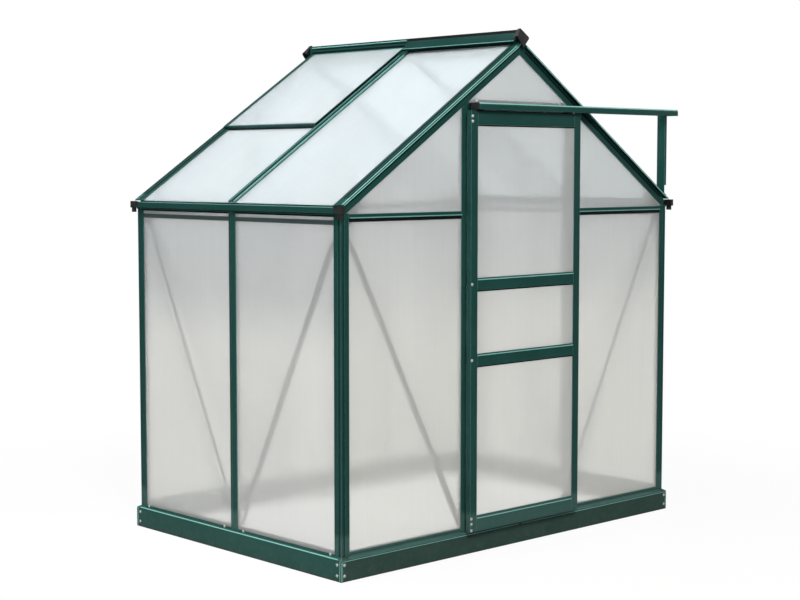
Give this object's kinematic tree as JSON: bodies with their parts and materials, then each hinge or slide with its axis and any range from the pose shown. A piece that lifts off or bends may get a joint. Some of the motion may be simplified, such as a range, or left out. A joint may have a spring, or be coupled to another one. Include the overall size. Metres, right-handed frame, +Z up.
{
  "type": "greenhouse",
  "caption": "Small walk-in greenhouse with a green aluminium frame, twin-wall panes, a folded base frame, a gabled roof with a closed vent, and a door that slides along a track.",
  "frame": {"origin": "on the ground, below the middle of the whole outline", "axes": "+Z up, +X along the door gable towards the side that the door slides to, +Y along the ridge away from the door gable"},
  "size_m": [1.904, 1.376, 2.0457],
  "materials": {
    "green_frame": "satin dark green powder coat on aluminium",
    "green_base": "satin dark green paint on folded steel",
    "black_plastic": "black moulded plastic",
    "bare_aluminium": "mill finish aluminium",
    "wall_pane": "milky twin-wall polycarbonate with upright ribs",
    "roof_pane": "milky twin-wall polycarbonate with ribs down the slope"
  },
  "bodies": {
    "greenhouse": {"base_front": "green_base", "base_back": "green_base", "base_left": "green_base", "base_right": "green_base", "base_corner_angles": "green_base", "side_sills": "green_frame", "front_sill": "green_frame", "back_sill": "green_frame", "post_front_left": "green_frame", "post_front_right": "green_frame", "post_back_left": "green_frame", "post_back_right": "green_frame", "side_studs": "green_frame", "door_posts": "green_frame", "back_studs": "green_frame", "tie_rail_front": "green_frame", "tie_rail_back": "green_frame", "eave_rails": "green_frame", "gutter_left": "green_frame", "gutter_right": "green_frame", "gutter_caps": "black_plastic", "gable_rafters_front": "green_frame", "gable_rafters_back": "green_frame", "roof_bars": "green_frame", "ridge": "green_frame", "ridge_caps": "black_plastic", "door_lintel": "green_frame", "door_track": "green_frame", "track_stops": "black_plastic", "track_support": "green_frame", "vent_frame": "green_frame", "vent_pane": "roof_pane", "roof_panes": "roof_pane", "side_panes": "wall_pane", "front_panes": "wall_pane", "back_panes": "wall_pane", "gable_panes": "wall_pane", "side_braces": "bare_aluminium", "gable_braces": "bare_aluminium", "eave_gussets": "green_frame"},
    "door": {"door_stiles": "green_frame", "door_rails": "green_frame", "door_panes": "wall_pane", "door_hangers": "green_frame", "door_rollers": "black_plastic"}
  },
  "joints": [
    {"name": "door_slide", "type": "slide", "parent": "greenhouse", "child": "door", "axis": [1, 0, 0], "range_m": [0, 0.59]}
  ]
}
